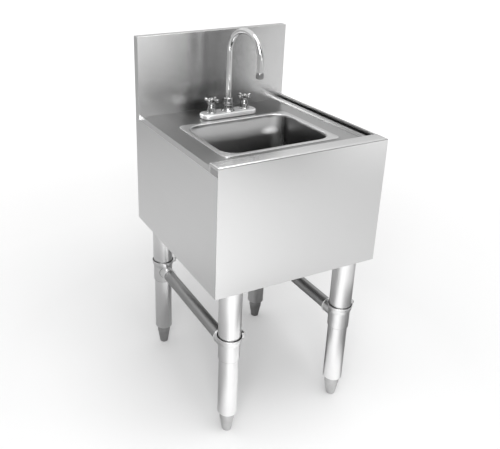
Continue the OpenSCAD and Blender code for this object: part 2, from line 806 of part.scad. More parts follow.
front_apron();
left_side_panel();
right_side_panel();
rear_panel();
deck_top();
right_edge_channel();
backsplash();
basin_bowl();
bowl_flange();
left_leg_channel();
right_leg_channel();
front_left_upper_leg();
front_right_upper_leg();
rear_left_upper_leg();
rear_right_upper_leg();
front_left_collar();
front_right_collar();
rear_left_collar();
rear_right_collar();
collar_screws();
left_side_rail();
right_side_rail();
front_left_lower_leg();
front_right_lower_leg();
rear_left_lower_leg();
rear_right_lower_leg();
foot_plugs();
front_left_foot();
front_right_foot();
rear_left_foot();
rear_right_foot();
drain_body();
drain_gasket();
drain_lock_nut();
drain_tailpiece();
drain_slip_nut();
drain_strainer();
faucet_base();
spout_post();
faucet_gasket();
faucet_shanks();
shank_lock_nuts();
spout_collar();
gooseneck_spout();
spout_aerator();
left_bonnet();
right_bonnet();
left_valve_stem();
right_valve_stem();
left_handle();
right_handle();
left_handle_button();
right_handle_button();
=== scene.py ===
import json
import math
import bpy
import bmesh
from mathutils import Matrix, Vector

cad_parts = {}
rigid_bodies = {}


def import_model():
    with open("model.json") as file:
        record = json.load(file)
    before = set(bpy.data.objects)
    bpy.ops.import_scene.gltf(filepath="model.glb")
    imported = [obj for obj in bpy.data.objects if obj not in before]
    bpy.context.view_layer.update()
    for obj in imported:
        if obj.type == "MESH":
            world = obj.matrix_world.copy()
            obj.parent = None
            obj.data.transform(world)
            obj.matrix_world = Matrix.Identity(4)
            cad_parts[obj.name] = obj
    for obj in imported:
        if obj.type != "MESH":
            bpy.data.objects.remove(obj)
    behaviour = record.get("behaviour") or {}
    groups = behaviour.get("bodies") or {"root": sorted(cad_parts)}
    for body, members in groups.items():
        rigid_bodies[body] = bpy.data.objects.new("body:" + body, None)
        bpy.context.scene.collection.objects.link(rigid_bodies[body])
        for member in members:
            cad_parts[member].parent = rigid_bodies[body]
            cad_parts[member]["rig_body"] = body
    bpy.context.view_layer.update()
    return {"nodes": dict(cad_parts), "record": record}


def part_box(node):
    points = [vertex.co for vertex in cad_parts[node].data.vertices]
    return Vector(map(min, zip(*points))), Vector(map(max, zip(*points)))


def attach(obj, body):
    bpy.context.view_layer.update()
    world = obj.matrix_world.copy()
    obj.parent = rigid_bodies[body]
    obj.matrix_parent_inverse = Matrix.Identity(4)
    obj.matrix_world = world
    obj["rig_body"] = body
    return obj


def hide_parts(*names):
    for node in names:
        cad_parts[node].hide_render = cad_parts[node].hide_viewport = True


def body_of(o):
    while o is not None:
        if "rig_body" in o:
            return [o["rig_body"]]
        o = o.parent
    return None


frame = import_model()
mm = 0.001


def placed(name, data):
    made = bpy.data.objects.new(name, data)
    bpy.context.scene.collection.objects.link(made)
    return made


# Camera, at the photograph's viewpoint

cameraSet = {
    "place": (-0.82494, -1.34076, 1.26311),
    "yaw": -23.597,      # degrees, negative turns to the right
    "pitch": 22.596,     # degrees below the horizon
    "roll": -0.549,
    "lens": 45.828,
    "shift": (0.16428, -0.09526),
}


def makeCamera(place, yaw, pitch, roll, lens, shift):
    data = bpy.data.cameras.new("camera")
    data.lens = lens
    data.shift_x, data.shift_y = shift
    camera = placed("camera", data)
    turn = Matrix.Translation(place)
    for angle, axis in ((yaw, "Z"), (90 - pitch, "X"), (roll, "Z")):
        turn = turn @ Matrix.Rotation(math.radians(angle), 4, axis)
    camera.matrix_world = turn
    bpy.context.scene.camera = camera


makeCamera(**cameraSet)
print("camera done")


# Node graphs, for finishes and for geometry

class Value:
    # one output socket of a node, with maths on it
    def __init__(self, graph, node, name=0):
        self.graph, self.node, self.name = graph, node, name

    def out(self, name):
        return Value(self.graph, self.node, name)

    def math(self, operation, *others):
        values = dict(enumerate([self, *others]))
        return self.graph.node("ShaderNodeMath", {"operation": operation}, values)

    def __add__(self, other):
        return self.math("ADD", other)

    def __sub__(self, other):
        return self.math("SUBTRACT", other)

    def __rsub__(self, other):
        return (self * -1) + other

    def __mul__(self, other):
        return self.math("MULTIPLY", other)

    def __truediv__(self, other):
        return self.math("DIVIDE", other)

    __radd__, __rmul__ = __add__, __mul__

    def least(self, other):
        return self.math("MINIMUM", other)

    def most(self, other):
        return self.math("MAXIMUM", other)

    def between(self, low, high):
        # 0 below low, 1 above high
        return ((self - low) / (high - low)).most(0).least(1)


class Graph:
    def __init__(self, tree):
        self.tree = tree

    def node(self, kind, settings=None, sockets=None):
        made = self.tree.nodes.new(kind)
        for name, value in (settings or {}).items():
            setattr(made, name, value)
        for name, value in (sockets or {}).items():
            self.put(made, name, value)
        return Value(self, made)

    def put(self, node, name, value):
        if isinstance(value, Value):
            self.tree.links.new(value.node.outputs[value.name], node.inputs[name])
        else:
            node.inputs[name].default_value = value

    def axes(self, place=None):
        parts = self.node("ShaderNodeSeparateXYZ", {}, {0: place or self.place})
        return [parts.out(index) for index in range(3)]

    def tint(self, low, high, amount, blend="MIX"):
        return self.node("ShaderNodeMix", {"data_type": "RGBA", "blend_type": blend}, {
            0: amount, 6: low, 7: high}).out(2)

    def ramp(self, stops, share):
        # tones by share; a stop is (place, tone)
        made = self.node("ShaderNodeValToRGB", {}, {0: share})
        elements = made.node.color_ramp.elements
        for index, (place, tone) in enumerate(stops):
            if index >= len(elements):
                elements.new(place)
            elements[index].position = place
            elements[index].color = grey(tone)
        return made


def grey(level, warmth=0.0):
    return (level * (1 + warmth), level, level * (1 - warmth), 1)


class Finish(Graph):
    # a material: the parts that vary are linked, the rest are set on the shader
    def __init__(self, name, rough, metal=1.0, light=0.0):
        self.name, self.material = name, bpy.data.materials.new(name)
        self.material.use_nodes = True
        super().__init__(self.material.node_tree)
        self.tree.nodes.clear()
        self.shader = self.node("ShaderNodeBsdfPrincipled", {}, {
            "Roughness": rough, "Metallic": metal, "Emission Strength": light})
        self.node("ShaderNodeOutputMaterial", {}, {"Surface": self.shader})
        self.place = self.node("ShaderNodeTexCoord").out("Object")

    def noise(self, scale, detail=3.0, stretch=(1, 1, 1), roughness=0.5, seed=0.0):
        spot = self.node("ShaderNodeMapping", {}, {
            "Vector": self.place, "Scale": stretch, "Location": (seed, seed * 0.37, seed * 0.71)})
        return self.node("ShaderNodeTexNoise", {"noise_dimensions": "3D"}, {
            "Vector": spot, "Scale": scale, "Detail": detail, "Roughness": roughness})

    def mottled(self, tone, amount, share):
        return self.tint(grey(tone * (1 - amount)), grey(min(1, tone * (1 + amount))), share)

    def away(self, spot, shape=(1, 1, 1)):
        # distance from a spot, stretched along each axis
        scaled = self.node("ShaderNodeVectorMath", {"operation": "MULTIPLY"}, {0: self.place, 1: shape})
        middle = [at * by for at, by in zip(spot, shape)]
        return self.node("ShaderNodeVectorMath", {"operation": "DISTANCE"}, {0: scaled, 1: middle}).out(1)

    def feed(self, **sockets):
        for key, value in sockets.items():
            self.put(self.shader.node, key.replace("_", " "), value)

    def done(self, base, rough, height, depth, strength=1.0):
        # the bump's depth is in millimetres
        self.feed(Base_Color=base, Roughness=rough, Normal=self.node("ShaderNodeBump", {}, {
            "Strength": strength, "Distance": depth * mm, "Height": height}))
        return self


# Finishes: a pair is where a tone starts to change and where it has changed, in metres or as a share of noise

noiseSpan = (0.3, 0.7)   # most of a noise lies between these

brushSet = {
    "fine": {"scale": 2400.0, "detail": 2, "seed": 3.1},    # scratches a metre across the grain
    "coarse": {"scale": 800.0, "seed": 7.7},
    "smudge": {"scale": 6.0, "seed": 1.9},
    "long": 0.006,       # how much slower a scratch changes along the grain
    "mottle": 0.02,
    "uneven": (0.03, 0.06),    # how far coarse scratches and smudges change the roughness
    # the painted bands and the painted shade spots end just under the top of the backsplash, and at the back
    # of its front sheet
    "bandTop": (0.9632, 0.9636), "bandBack": (0.2166, 0.217),
}


def brushed(name, grain, tone, rough, depth=0.008, along=brushSet["long"], bands=None, paintedShade=None):
    # sheet steel brushed along one axis of the object; bands are painted light and shade, as tones by
    # distance along that axis, and the last argument is a spot of painted shade with its radii and tone
    finish = Finish(name, rough)
    stretch = tuple(along if axis == grain else 1.0 for axis in "xyz")
    fine, coarse = (finish.noise(stretch=stretch, **brushSet[key]) for key in ("fine", "coarse"))
    smudge = finish.noise(**brushSet["smudge"])
    share = (coarse.between(*noiseSpan) + smudge.between(*noiseSpan)) * 0.5
    base = finish.mottled(tone, brushSet["mottle"], share)
    axes = finish.axes()
    behind = axes[1].between(*brushSet["bandBack"])
    if bands:
        start, end = bands[0][0], bands[-1][0]
        stops = [((at - start) / (end - start), level) for at, level in bands]
        tones = finish.ramp(stops, axes["xyz".index(grain)].between(start, end))
        # the narrow return on top keeps the plain tone
        base = finish.tint(base, tones, 1 - axes[2].between(*brushSet["bandTop"]).most(behind), "MULTIPLY")
    # painted shade: a spot darkened where shade falls
    if paintedShade:
        spot, inner, outer, low = paintedShade
        base = finish.tint(grey(low), base, finish.away(spot).between(inner, outer).most(behind))
    coarseRough, smudgeRough = brushSet["uneven"]
    return finish.done(base, (coarse - 0.5) * coarseRough + (smudge - 0.5) * smudgeRough + rough, fine, depth)


channelSet = {
    "coarse": {"scale": 300.0, "seed": 7.7},
    "stretch": (1, 0.006, 1), "mottle": 0.04, "uneven": 0.08, "depth": 0.012,
    "left": (0.2152, 0.2156), "right": (0.2243, 0.2245), "top": (0.7592, 0.7597),    # painted shade inside the channel
    "slope": ((0.1995, 0.2), (0.2062, 0.2067)),    # the slope up to its ledge, painted darker as shade
    "slopeShadeTone": 0.4,
}


def edged(name, tone, rough, low):
    # the deck's steel, with painted shade inside the drip channel and on the slope up to its ledge
    finish = Finish(name, rough)
    coarse, fine = (finish.noise(stretch=channelSet["stretch"], **mark)
                    for mark in (channelSet["coarse"], brushSet["fine"]))
    x, _, z = finish.axes()
    shadedInside = (x.between(*channelSet["left"]) * (1 - x.between(*channelSet["right"]))
              * (1 - z.between(*channelSet["top"])))
    start, end = channelSet["slope"]
    bright = finish.mottled(tone, channelSet["mottle"], coarse.between(*noiseSpan))
    bright = finish.tint(bright, grey(channelSet["slopeShadeTone"]), x.between(*start) * (1 - x.between(*end)))
    return finish.done(finish.tint(bright, grey(low), shadedInside), (coarse - 0.5) * channelSet["uneven"] + rough,
                       fine, channelSet["depth"])


drawnSet = {
    "cloud": {"scale": 14.0, "seed": 3.3},
    "scratch": {"scale": 1800.0, "detail": 2, "stretch": (0.01, 0.01, 1), "seed": 6.4},
    "waver": 0.014, "uneven": 0.1, "depth": 0.006,
    "top": 0.7485,       # height of the bowl's flange; the pairs below are depths under it
    "satinTop": (0.004, 0.01), "satinEnd": (0.03, 0.06),    # the satin upper band
    "satinMetal": 0.35,
    "deep": (0.05, 0.12),    # painted shade: the steel darkens with depth between these
    "deepShadeTone": 0.22, "deepRough": 0.24,
    "wallTop": (0.003, 0.008), "wallLeft": (0.118, 0.14),    # the right wall is painted dark, as shade
    "glint": ((0.104, 0.082, 0.704), 0.004, 0.018),  # painted highlight at the right back corner, its radii
    "glintShape": (0.6, 1.0, 1.3),   # it is wider than high
}


def drawn(name, tone, rough):
    # deep-drawn bowl: a less metallic satin band near its flange, painted shade deeper down and on the right
    # wall, and a painted highlight at the right back corner
    finish = Finish(name, rough)
    x, _, z = finish.axes()
    cloud, scratch = (finish.noise(**drawnSet[key]) for key in ("cloud", "scratch"))
    below = drawnSet["top"] - z + (cloud - 0.5) * drawnSet["waver"]
    wall = below.between(*drawnSet["wallTop"]) * x.between(*drawnSet["wallLeft"])
    satin = below.between(*drawnSet["satinTop"]) * (1 - below.between(*drawnSet["satinEnd"])) * (1 - wall)
    spot, inner, outer = drawnSet["glint"]
    # a painted highlight: a white, non-metallic spot
    glint = 1 - finish.away(spot, drawnSet["glintShape"]).between(inner, outer)
    # painted shade deeper down and on the right wall
    deep = below.between(*drawnSet["deep"]).most(wall) * (1 - glint)
    base = finish.tint(grey(tone), grey(drawnSet["deepShadeTone"]), deep)
    finish.feed(Metallic=(1 - satin * (1 - drawnSet["satinMetal"])) * (1 - glint))
    rough = deep * (drawnSet["deepRough"] - rough) + (cloud - 0.5) * drawnSet["uneven"] + rough
    return finish.done(finish.tint(base, grey(1), glint), rough, scratch, drawnSet["depth"])


# painted shade in a collar's mouth
mouthShadeSet = {
    "axis": (0.1675, 0.207),     # where the legs stand, on either side of the middle
    "reach": (0.0308, 0.031), "height": (0.2941, 0.2943),    # the bevelled mouth of a collar
    "base": (0.2303, 0.2307),    # its lower edge
    "tone": 0.05, "baseTone": 0.4,
}


def paintMouthShade(finish, base):
    # painted shade: a collar's mouth round the tube is painted dark, and its lower edge is painted darker
    *flat, z = finish.axes()
    across, along = (axis.math("ABSOLUTE") - off for axis, off in zip(flat, mouthShadeSet["axis"]))
    away = (across * across + along * along).math("SQRT")
    mouth = (1 - away.between(*mouthShadeSet["reach"])) * z.between(*mouthShadeSet["height"])
    base = finish.tint(base, grey(mouthShadeSet["tone"]), mouth)
    return finish.tint(base, grey(mouthShadeSet["baseTone"]), 1 - z.between(*mouthShadeSet["base"]))


# marks are noises; "tint" is the mark and span that take the tone from one factor to the other; "rough" has
# marks with their span, the middle of what they add and its amount; "bump" has marks with their shares
wearSet = {
    "turned": {    # polished round its axis
        "marks": {"ring": {"scale": 2400.0, "detail": 2, "stretch": (0.02, 0.02, 1), "seed": 2.2},
                  "smudge": {"scale": 16.0, "stretch": (1, 1, 0.6), "seed": 5.3}},
        "tones": (0.96, 1.04), "tint": ("smudge", 0.3, 0.7), "rough": (("smudge", 0, 1, 0.5, 0.12),),
        "bump": (("ring", 1),), "depth": 0.008, "strength": 1.0},
    "polished": {    # plated and buffed, with faint wipe marks and water spots
        "marks": {"wipe": {"scale": 46.0, "detail": 4, "stretch": (1, 0.35, 1), "roughness": 0.6,
                           "seed": 4.4},
                  "spots": {"scale": 240.0, "detail": 2, "seed": 8.8}},
        "tones": (1, 0.9), "tint": ("wipe", 0.45, 0.75),
        "rough": (("wipe", 0.4, 0.8, 0, 0.08), ("spots", 0.66, 0.74, 0, 0.08)),
        "bump": (("wipe", 1),), "depth": 0.03, "strength": 0.12},
    "cast": {
        "marks": {"grain": {"scale": 900.0, "roughness": 0.6, "seed": 6.1},
                  "patch": {"scale": 38.0, "detail": 4, "seed": 9.9}},
        "tones": (0.86, 1), "tint": ("patch", 0.3, 0.65),
        "rough": (("grain", 0, 1, 0.5, 0.2), ("patch", 0, 1, 0.5, 0.2)),
        "bump": (("grain", 0.6), ("patch", 0.4)), "depth": 0.12, "strength": 0.4},
    "rubber": {
        "marks": {"grain": {"scale": 700.0, "roughness": 0.6, "seed": 2.7}},
        "tones": (0.8, 1.3), "tint": ("grain", 0, 1), "rough": (("grain", 0, 1, 0.5, 0.3),),
        "bump": (("grain", 1),), "depth": 0.1, "strength": 0.3},
}


def worn(kind, name, tone, rough, warmth=0.0, metal=1.0, shadeMouths=False):
    finish, settings = Finish(name, rough, metal), wearSet[kind]
    marks = {title: finish.noise(**noise) for title, noise in settings["marks"].items()}
    low, high = (grey(min(1, tone * factor), warmth) for factor in settings["tones"])
    mark, *span = settings["tint"]
    base = finish.tint(low, high, marks[mark].between(*span))
    # painted shade in the collars' mouths
    if shadeMouths:
        base = paintMouthShade(finish, base)
    rough = sum(((marks[mark].between(start, end) - middle) * amount
                 for mark, start, end, middle, amount in settings["rough"]), rough)
    height = sum(marks[mark] * share for mark, share in settings["bump"])
    return finish.done(base, rough, height, settings["depth"], settings["strength"])


finishes = {finish.name: finish.material for finish in (
    # the sheets are one steel, toned per face as painted light and shade: the front, sides and backsplash
    # lighter, the deck darker
    brushed("frontSheet", "x", 0.84, 0.26),
    brushed("sideSheet", "y", 0.93, 0.3),
    brushed("deckSheet", "x", 0.63, 0.3, bands=(
        # painted light and shade: the strips beside the bowl are painted brighter than the ground behind it
        (-0.2285, 0.81), (-0.17, 0.81), (-0.13, 0.6), (0.13, 0.57), (0.165, 0.8), (0.2285, 0.8)),
        # a spot of painted shade on the deck behind the faucet
        paintedShade=((-0.05, 0.21, 0.75), 0.01, 0.07, 0.14)),
    edged("edgeSheet", 0.66, 0.28, 0.26),
    brushed("splashSheet", "x", 0.96, 0.25, 0.1, along=0.01, bands=(
        # painted reflection and shade: the backsplash is painted darker behind the faucet
        (-0.2285, 0.92), (-0.15, 0.86), (-0.09, 0.68), (-0.045, 0.5), (0.0, 0.36), (0.04, 0.4),
        (0.085, 0.54), (0.14, 0.8), (0.2285, 0.82)),
        # a spot of painted shade at the backsplash's foot behind the faucet
        paintedShade=((-0.05, 0.21, 0.762), 0.01, 0.06, 0.16)),
    drawn("bowlSteel", 0.76, 0.36),
    brushed("hiddenSheet", "x", 0.6, 0.38),
    # painted shade: the rails' steel is a darker copy of the legs' steel
    worn("turned", "railSteel", 0.42, 0.42),
    worn("turned", "tubeSteel", 0.9, 0.32),
    worn("turned", "collarSteel", 0.88, 0.34, shadeMouths=True),
    worn("cast", "weldSteel", 0.5, 0.36),
    worn("cast", "footMetal", 0.58, 0.36),
    worn("cast", "zinc", 0.55, 0.4),
    # shaded and lit copies of one chrome: the small parts' chrome is toned down to read darker, and the
    # plate's is light and half diffuse to read brightly lit
    worn("polished", "chrome", 0.4, 0.08),
    worn("polished", "spoutChrome", 0.9, 0.07),
    worn("polished", "plateChrome", 0.86, 0.18, metal=0.55),
    worn("polished", "drainSteel", 0.7, 0.18),
    worn("polished", "brass", 0.6, 0.24, 0.32),
    worn("rubber", "gasket", 0.04, 0.7, metal=0.0))}
print("finishes done")


# Shapes: each is (points, faces), in metres

def softLoop(points, steps=4):
    # rounds the corners of a closed outline; a point is (a, b) or (a, b, radius), in millimetres
    rounded = []
    count = len(points)
    for index, point in enumerate(points):
        corner = Vector(point[:2])
        radius = point[2] if len(point) > 2 else 0
        before = Vector(points[index - 1][:2]) - corner
        after = Vector(points[(index + 1) % count][:2]) - corner
        if radius <= 0 or before.length < 1e-6 or after.length < 1e-6:
            rounded.append(tuple(corner))
            continue
        half = before.angle(after) / 2
        reach = min(radius / math.tan(half), before.length * 0.49, after.length * 0.49)
        radius = reach * math.tan(half)
        start, end = corner + before.normalized() * reach, corner + after.normalized() * reach
        middle = corner + (before.normalized() + after.normalized()).normalized() * (radius / math.sin(half))
        first, last = start - middle, end - middle
        sweep = first.angle_signed(last)
        for step in range(steps + 1):
            spin = Matrix.Rotation(-sweep * step / steps, 2)
            rounded.append(tuple(middle + spin @ first))
    return rounded


def lathe(outline, steps=96):
    # turns an outline of (radius, height) in millimetres round the Z axis
    points, rings, faces = [], [], []
    for radius, height in outline:
        if radius < 1e-6:
            rings.append([len(points)])
            points.append((0, 0, height * mm))
            continue
        rings.append(list(range(len(points), len(points) + steps)))
        for step in range(steps):
            angle = 2 * math.pi * step / steps
            points.append((radius * mm * math.cos(angle), radius * mm * math.sin(angle), height * mm))
    for index, ring in enumerate(rings):
        other = rings[(index + 1) % len(rings)]
        if len(ring) == 1 and len(other) == 1:
            continue
        for step in range(steps):
            after = (step + 1) % steps
            faces.append(list(dict.fromkeys([
                ring[step % len(ring)], ring[after % len(ring)],
                other[after % len(other)], other[step % len(other)]])))
    return points, faces


def loft(rings, closed=False):
    # joins rings of equal length; the ends are capped unless the rings close on themselves
    points = [point for ring in rings for point in ring]
    size = len(rings[0])
    faces = []
    for index in range(len(rings) if closed else len(rings) - 1):
        here, there = index * size, ((index + 1) % len(rings)) * size
        for step in range(size):
            after = (step + 1) % size
            faces.append([here + step, here + after, there + after, there + step])
    if not closed:
        faces.append(list(range(size))[::-1])
        faces.append([len(points) - size + step for step in range(size)])
    return points, faces


def roundRing(width, depth, radius, height, corner=10):
    # a rounded rectangle round the origin, in millimetres
    radius = min(radius, width / 2 - 0.001, depth / 2 - 0.001)
    ring = []
    for sideX, sideY, start in ((1, 1, 0), (-1, 1, 90), (-1, -1, 180), (1, -1, 270)):
        for step in range(corner + 1):
            angle = math.radians(start + 90 * step / corner)
            ring.append(((sideX * (width / 2 - radius) + radius * math.cos(angle)) * mm,
                         (sideY * (depth / 2 - radius) + radius * math.sin(angle)) * mm, height * mm))
    return ring


def moved(shape, place, turn=None):
    matrix = Matrix.Translation(Vector(place)) @ (turn or Matrix.Identity(3)).to_4x4()
    return [tuple(matrix @ Vector(point)) for point in shape[0]], shape[1]


def together(*shapes):
    points, faces = [], []
    for more, sides in shapes:
        faces += [[index + len(points) for index in side] for side in sides]
        points += more
    return points, faces


def quarter(steps):
    # (sine, cosine) pairs through a quarter turn
    angles = [math.pi / 2 * step / steps for step in range(steps + 1)]
    return [(math.sin(angle), math.cos(angle)) for angle in angles]


def block(size, place, edge):
    # a box with rounded edges: sizes in millimetres, place in metres
    half = size[2] / 2
    edge = min(edge, *(length / 2 for length in size))
    rings = []
    for side, lift, inset in ((-1, 0, 1), (-1, 0.3, 0.3), (-1, 1, 0), (1, 1, 0), (1, 0.3, 0.3), (1, 0, 1)):
        wide, deep = (length - 2 * edge * inset for length in size[:2])
        rings.append(roundRing(wide, deep, edge, side * (half - edge * lift), 3))
    return moved(loft(rings), place)


slotOf = {part["node"]: part["material_slot"] for part in frame["record"]["subparts"]}


def centreOf(node):
    low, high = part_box(node)
    return (low + high) / 2, low, high


def meshOf(name, shape, join=0.0):
    # points closer than "join" become one
    mesh = bpy.data.meshes.new(name)
    mesh.from_pydata(shape[0], [], shape[1])
    work = bmesh.new()
    work.from_mesh(mesh)
    if join:
        bmesh.ops.remove_doubles(work, verts=work.verts, dist=join)
    bmesh.ops.recalc_face_normals(work, faces=work.faces)
    work.to_mesh(mesh)
    work.free()
    return mesh


def dressed(name, mesh, finish, *nodes, sharp=40, like=None):
    # a piece in place of CAD nodes, with the body of the first, or of the node that it is like
    mesh.materials.clear()
    mesh.materials.append(finishes[finish])
    mesh.polygons.foreach_set("use_smooth", [True] * len(mesh.polygons))
    mesh.set_sharp_from_angle(angle=math.radians(sharp))
    made = placed(name, mesh)
    node = like or nodes[0]
    body, slotName = body_of(frame["nodes"][node])[0], slotOf[node]
    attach(made, body)
    if nodes:
        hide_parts(*nodes)


def piece(name, shape, finish, *nodes, **more):
    dressed(name, meshOf(name, shape, 1e-7), finish, *nodes, **more)


def raised(outline, levels):
    # an outline's points are (radius, height above a level, corner radius), listed by level
    return [(radius, levels[level] + height, *corner)
            for level, points in outline.items() for radius, height, *corner in points]


def turnedPiece(name, node, finish, outline, steps=5, sides=96, extra=(), **levels):
    # a round piece on its CAD node's upright axis
    centre, low, high = centreOf(node)
    points = raised(outline, {"foot": low.z / mm, "head": high.z / mm, **levels})
    shape = together(lathe(softLoop(points, steps), sides), *extra)
    piece(name, moved(shape, (centre.x, centre.y, 0)), finish, node)


softSet = {
    "join": 2e-6,        # metres
    "flat": 1.5,         # degrees: flatter edges are dropped
    "fold": 30.0,        # degrees: sharper edges are rounded
    "upright": 0.9,      # share of an upright edge's length that is height
    "segments": 4,
    "endReach": 0.1,     # millimetres from the ends, for the wide rounding
    "endSkip": 3.0,      # no second rounding this close to a wide one
}


def softened(name, node, finish, width=0.5, wide=0.0):
    # a copy of a CAD node with its edges rounded, the upright front ones by "wide"
    mesh = frame["nodes"][node].data.copy()
    low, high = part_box(node)
    work = bmesh.new()
    work.from_mesh(mesh)
    bmesh.ops.remove_doubles(work, verts=work.verts, dist=softSet["join"])
    bmesh.ops.dissolve_limit(work, angle_limit=math.radians(softSet["flat"]), verts=work.verts,
                             edges=work.edges)

    def atEnd(edge, reach):
        middle = (edge.verts[0].co + edge.verts[1].co) / 2
        upright = abs(edge.verts[1].co.z - edge.verts[0].co.z) > softSet["upright"] * edge.calc_length()
        return upright and max(min(middle.x - low.x, high.x - middle.x), middle.y - low.y) < reach * mm

    def rounded(chosen, offset):
        bmesh.ops.bevel(work, geom=chosen, offset=offset * mm, offset_type="OFFSET",
                        segments=softSet["segments"], profile=0.5, affect="EDGES", clamp_overlap=True)

    def folds():
        return [edge for edge in work.edges if edge.calc_face_angle(0.0) > math.radians(softSet["fold"])]

    if wide:
        rounded([edge for edge in folds() if atEnd(edge, softSet["endReach"])], wide)
    rounded([edge for edge in folds() if not (wide and atEnd(edge, softSet["endSkip"]))], width)
    for point in work.verts:
        point.co = Vector(max(least, min(most, value)) for value, least, most in zip(point.co, low, high))
    work.to_mesh(mesh)
    work.free()
    dressed(name, mesh, finish, node, sharp=180)
    # broad flat faces keep their own direction, and the rounding between them blends
    sums = [Vector() for _ in mesh.vertices]
    for face in mesh.polygons:
        for index in face.vertices:
            sums[index] += face.normal * face.area
    mesh.normals_split_custom_set_from_vertices([total.normalized() for total in sums])


# What repeats or follows a rule, grown by geometry nodes

class Growth(Graph):
    # every input but Count is a plain number
    def __init__(self, name, *titles):
        super().__init__(bpy.data.node_groups.new(name, "GeometryNodeTree"))
        for title in titles:
            self.tree.interface.new_socket(
                title, in_out="INPUT", socket_type="NodeSocketInt" if title == "Count" else "NodeSocketFloat")
        self.tree.interface.new_socket("Geometry", in_out="OUTPUT", socket_type="NodeSocketGeometry")
        entry = self.node("NodeGroupInput")
        self.inputs = [entry.out(title) for title in titles]

    def add(self, kind, **sockets):
        return self.node("GeometryNode" + kind, {}, {
            key.replace("_", " "): value for key, value in sockets.items()})

    def close(self, geometry, finish):
        real = self.add("RealizeInstances", Geometry=geometry)
        painted = self.add("SetMaterial", Geometry=real, Material=finishes[finish])
        self.node("NodeGroupOutput", {}, {"Geometry": painted})
        return self.tree

    def vector(self, x, y, z):
        return self.node("ShaderNodeCombineXYZ", {}, {0: x, 1: y, 2: z})

    def circle(self, points, radius):
        return self.add("CurvePrimitiveCircle", Resolution=points, Radius=radius)

    def skin(self, path, profile, **more):
        return self.add("CurveToMesh", Curve=path, Profile_Curve=profile, **more)


def grow(tree, *values):
    # runs a tree once and gives back its plain mesh
    seed = placed("seed", bpy.data.meshes.new("seed"))
    modifier = seed.modifiers.new("grow", "NODES")
    modifier.node_group = tree
    inputs = [item.identifier for item in tree.interface.items_tree if item.in_out == "INPUT"]
    for key, value in zip(inputs, values):
        modifier[key] = value
    graph = bpy.context.evaluated_depsgraph_get()
    mesh = bpy.data.meshes.new_from_object(seed.evaluated_get(graph))
    bpy.data.objects.remove(seed)
    return mesh


def shapeOf(mesh):
    return [tuple(vertex.co) for vertex in mesh.vertices], [list(face.vertices) for face in mesh.polygons]


beadSet = {"steps": 180, "sides": 10, "ripple": 0.16, "spread": 0.3}


def beadTree(steps, sides, ripple, spread):
    # a rippled weld bead along the line where a socket meets an upright sleeve; it spreads above the flare
    tree = Growth("weldBead", "Arm", "Sleeve", "Bead", "Ripples", "Flare")
    arm, sleeve, bead, ripples, flare = tree.inputs
    turn = tree.add("SplineParameter").out("Factor") * (2 * math.pi)
    across, rise = turn.math("COSINE") * arm, turn.math("SINE") * arm
    out = (sleeve * sleeve - across * across).math("SQRT") + (rise - flare).most(0) * spread
    thick = bead * ((turn * ripples).math("SINE") * ripple + 1)
    path = tree.add("SetPosition", Geometry=tree.circle(steps, 1.0), Position=tree.vector(across, out, rise))
    return tree.close(tree.skin(path, tree.circle(sides, 1.0), Scale=thick), "weldSteel")


def threadTree():
    # one ridge wound up a screw
    tree = Growth("thread", "Radius", "Rise", "Turns", "Ridge")
    radius, rise, turns, ridge = tree.inputs
    spiral = tree.add("CurveSpiral", Resolution=28, Rotations=turns, Start_Radius=radius, End_Radius=radius,
                      Height=rise)
    return tree.close(tree.skin(spiral, tree.circle(4, ridge), Fill_Caps=True), "zinc")


def ridgeTree():
    # grip ridges round a cap
    tree = Growth("ridges", "Count", "Radius", "Rise", "Ridge")
    count, radius, rise, ridge = tree.inputs
    ring = tree.add("MeshCircle", Vertices=count, Radius=radius)
    rod = tree.add("MeshCylinder", Vertices=8, Radius=ridge, Depth=rise)
    return tree.close(tree.add("InstanceOnPoints", Points=ring, Instance=rod), "chrome")


def thread(radius, ridge, low, high, pitch):
    # a thread round the Z axis, in millimetres
    rise = high - low
    mesh = grow(threadTree(), radius * mm, rise * mm, rise / pitch, ridge * mm)
    return moved(shapeOf(mesh), (0, 0, low * mm))


# Body: folded sheet

for sheet in (
        ("frontPanel", "front_apron", "frontSheet", 0.3, 1.4),
        ("leftPanel", "left_side_panel", "sideSheet"),
        ("rightPanel", "right_side_panel", "sideSheet"),
        ("backPanel", "rear_panel", "hiddenSheet"),
        ("deckPlate", "deck_top", "deckSheet"),
        ("edgeChannel", "right_edge_channel", "edgeSheet"),
        ("splashPlate", "backsplash", "splashSheet", 0.6),
        ("leftLegChannel", "left_leg_channel", "hiddenSheet"),
        ("rightLegChannel", "right_leg_channel", "hiddenSheet")):
    softened(*sheet)
print("sheet done")


# Bowl

bowlSet = {
    "points": 12,        # along each corner
    "corner": 42.0, "floorR": 26.0, "flange": 14.0, "flangeCorner": 16.0,
    "hem": ((0, 0.5), (0.15, 0.15), (0.5, 0)),    # rounding of the flange's edge: inwards, down
    "flat": (0.6, 30.0),    # share of the flange where its corners have this radius
    "roll": 3.2,         # radius where the flange turns down
    "fall": 1.6,         # fall of the floor towards the drain
    "gauge": 1.5, "hole": 24.3,
    "under": 0.6,        # rounding under the flange
}


